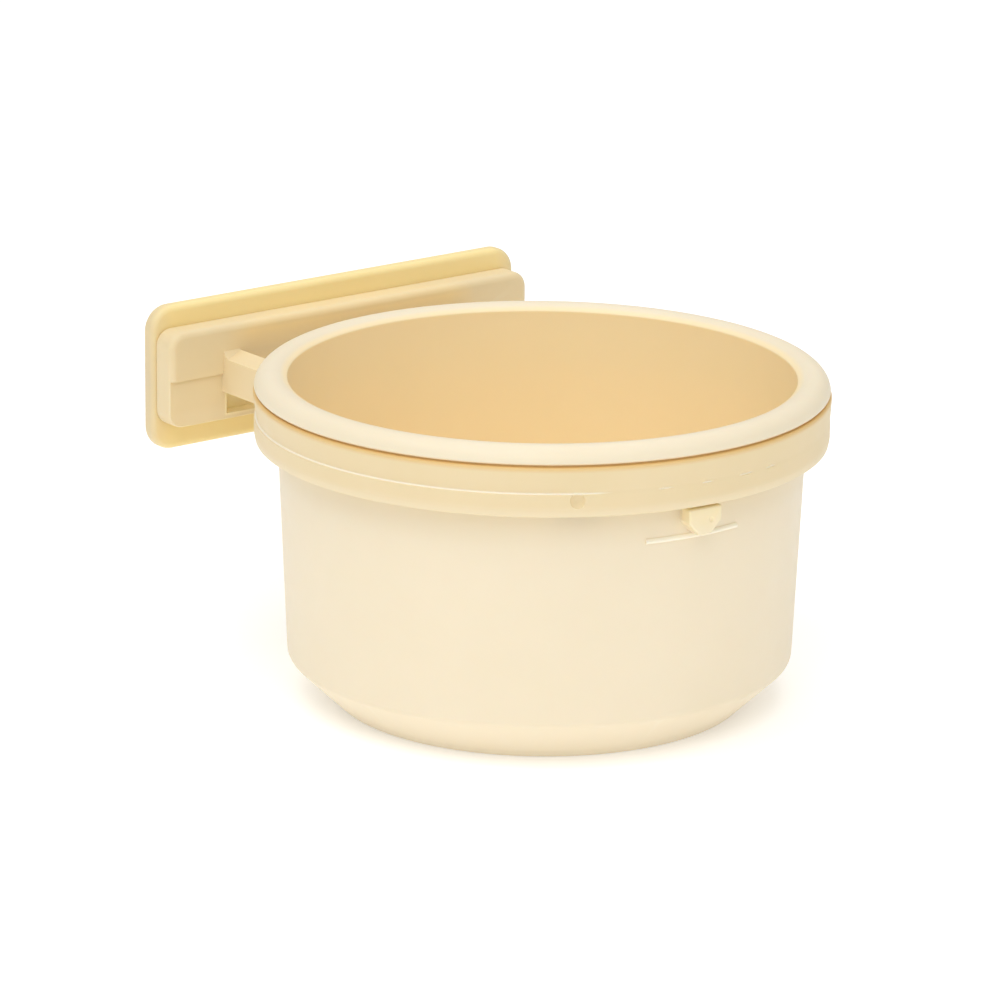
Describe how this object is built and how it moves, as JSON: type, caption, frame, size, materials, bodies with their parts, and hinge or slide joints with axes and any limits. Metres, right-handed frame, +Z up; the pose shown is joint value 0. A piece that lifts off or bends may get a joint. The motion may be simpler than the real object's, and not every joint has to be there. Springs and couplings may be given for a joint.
{
  "type": "seed cup",
  "caption": "Round seed cup that hangs by its rolled rim in a ring bracket and locks with a short twist; two plates clamp the bracket on cage wires with a bolt and wing nut.",
  "frame": {"origin": "on the bowl's axis at the height of the table, in the plane of the foot ring", "axes": "+Z up along the bowl's axis, +Y from the bowl to the clamp plates and along the bolt, +X along the plates"},
  "size_m": [0.1004, 0.1342, 0.0626],
  "materials": {
    "bowl_plastic": "semi-gloss cream moulded plastic, slightly translucent",
    "bracket_plastic": "semi-gloss cream moulded plastic",
    "plate_plastic": "semi-gloss yellower cream moulded plastic",
    "steel": "zinc-plated steel"
  },
  "bodies": {
    "bracket": {"ring_bracket": "bracket_plastic", "clamp_bolt": "steel"},
    "cup": {"bowl": "bowl_plastic"},
    "outer_plate": {"clamp_plate": "plate_plastic", "washer": "steel"},
    "nut": {"wing_nut": "bracket_plastic", "nut_insert": "steel"}
  },
  "joints": [
    {"name": "bowl_twist", "type": "hinge", "parent": "bracket", "child": "cup", "pos_m": [0, 0, 0.0512], "axis": [0, 0, 1], "range_deg": [-27, 0]},
    {"name": "plate_travel", "type": "slide", "parent": "bracket", "child": "outer_plate", "axis": [0, 1, 0], "range_m": [0, 0.008]},
    {"name": "nut_spin", "type": "hinge", "parent": "outer_plate", "child": "nut", "pos_m": [0, 0.0653, 0.04655], "axis": [0, 1, 0], "range_deg": [0, 3600]}
  ],
  "couplings": [
    {"joint": "plate_travel", "follows": "nut_spin", "m_per_rad": 0.00012732}
  ]
}
